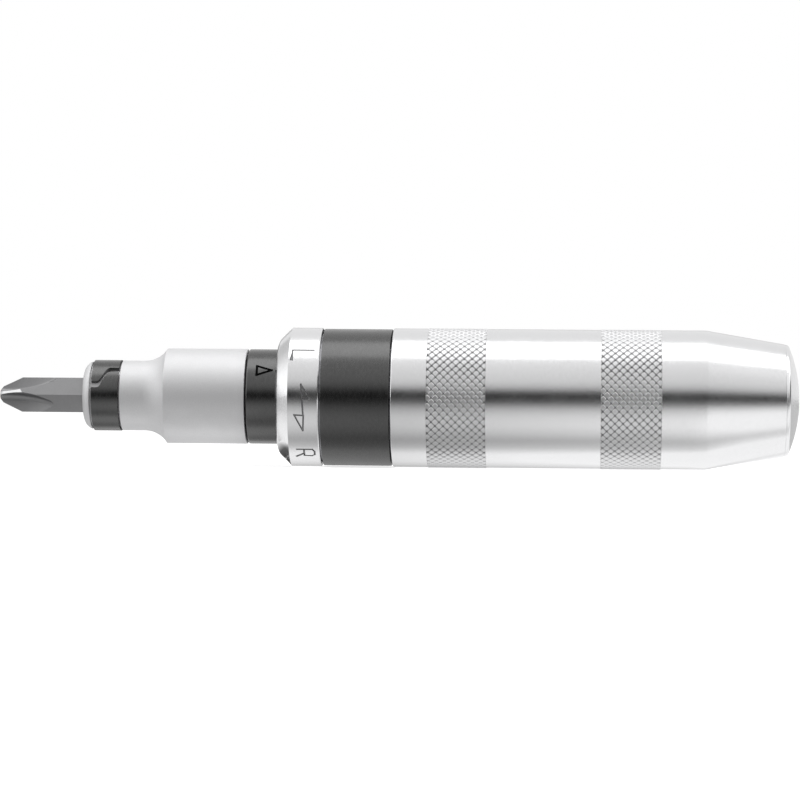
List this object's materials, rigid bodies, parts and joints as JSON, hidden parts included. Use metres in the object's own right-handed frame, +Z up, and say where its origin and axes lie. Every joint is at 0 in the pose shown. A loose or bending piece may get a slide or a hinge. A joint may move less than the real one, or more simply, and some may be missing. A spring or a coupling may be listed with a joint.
{
  "type": "hand impact driver",
  "caption": "Hand impact driver lying on its side: knurled struck handle, direction ring, sprung cam spindle and a hexagon bit holder with a cross-point bit.",
  "frame": {"origin": "on the surface that the tool lies on, below the middle of its length", "axes": "+X along the tool from the bit to the struck end, +Z up, -Y towards the side with the direction marks"},
  "size_m": [0.1848, 0.0322, 0.0322],
  "materials": {
    "satin_chrome": "bright satin chrome over ground steel",
    "matt_chrome": "matt chrome over turned steel",
    "blackened_steel": "black oxide, half gloss",
    "bit_steel": "grey blasted tool steel",
    "spring_steel": "plain oiled steel",
    "hardened_steel": "ground hardened steel",
    "bearing_bronze": "turned bronze",
    "seal_rubber": "matt"
  },
  "bodies": {
    "handle": {"hammer_handle": "satin_chrome", "collar_ring": "blackened_steel", "cam_sleeve": "hardened_steel", "direction_ring": "satin_chrome", "spindle_seal": "seal_rubber", "bush_circlip": "spring_steel", "front_bush": "bearing_bronze", "flange_washer": "hardened_steel", "rear_bush": "bearing_bronze"},
    "spring_seat": {"rear_spring_seat": "hardened_steel", "return_spring": "spring_steel"},
    "thrust_washer": {"thrust_washer": "hardened_steel"},
    "spindle": {"spindle": "blackened_steel", "cross_pin": "spring_steel", "drive_ball_spring": "spring_steel"},
    "drive_ball": {"drive_ball": "spring_steel"},
    "bit_holder": {"bit_holder": "matt_chrome", "retaining_band": "blackened_steel"},
    "bit_ball": {"bit_ball": "spring_steel"},
    "bit": {"bit": "bit_steel"}
  },
  "joints": [
    {"name": "direction_select", "type": "hinge", "parent": "handle", "child": "spring_seat", "pos_m": [0.0076, 0, 0.0161], "axis": [1, 0, 0], "range_deg": [0, 88]},
    {"name": "strike_plunge", "type": "slide", "parent": "spring_seat", "child": "thrust_washer", "axis": [1, 0, 0], "range_m": [0, 0.005], "stiffness_N_per_m": 12000, "springref_m": -0.005, "deforming": ["return_spring"]},
    {"name": "cam_twist", "type": "hinge", "parent": "thrust_washer", "child": "spindle", "pos_m": [0.0076, 0, 0.0161], "axis": [1, 0, 0], "range_deg": [0, 12]},
    {"name": "drive_ball_press", "type": "slide", "parent": "spindle", "child": "drive_ball", "axis": [0, 0, -1], "range_m": [0, 0.0006], "stiffness_N_per_m": 500, "springref_m": -0.002, "deforming": ["drive_ball_spring"]},
    {"name": "holder_pull", "type": "slide", "parent": "spindle", "child": "bit_holder", "axis": [-1, 0, 0], "range_m": [0, 0.016]},
    {"name": "bit_pull", "type": "slide", "parent": "bit_holder", "child": "bit", "axis": [-1, 0, 0], "range_m": [0, 0.017]},
    {"name": "bit_ball_drop", "type": "slide", "parent": "bit_holder", "child": "bit_ball", "axis": [0, -0.866, 0.5], "range_m": [0, 0.0003]}
  ],
  "couplings": [
    {"joint": "cam_twist", "follows": "strike_plunge", "rad_per_m": 41.88},
    {"joint": "bit_ball_drop", "follows": "bit_pull", "ratio": 0.0175}
  ]
}
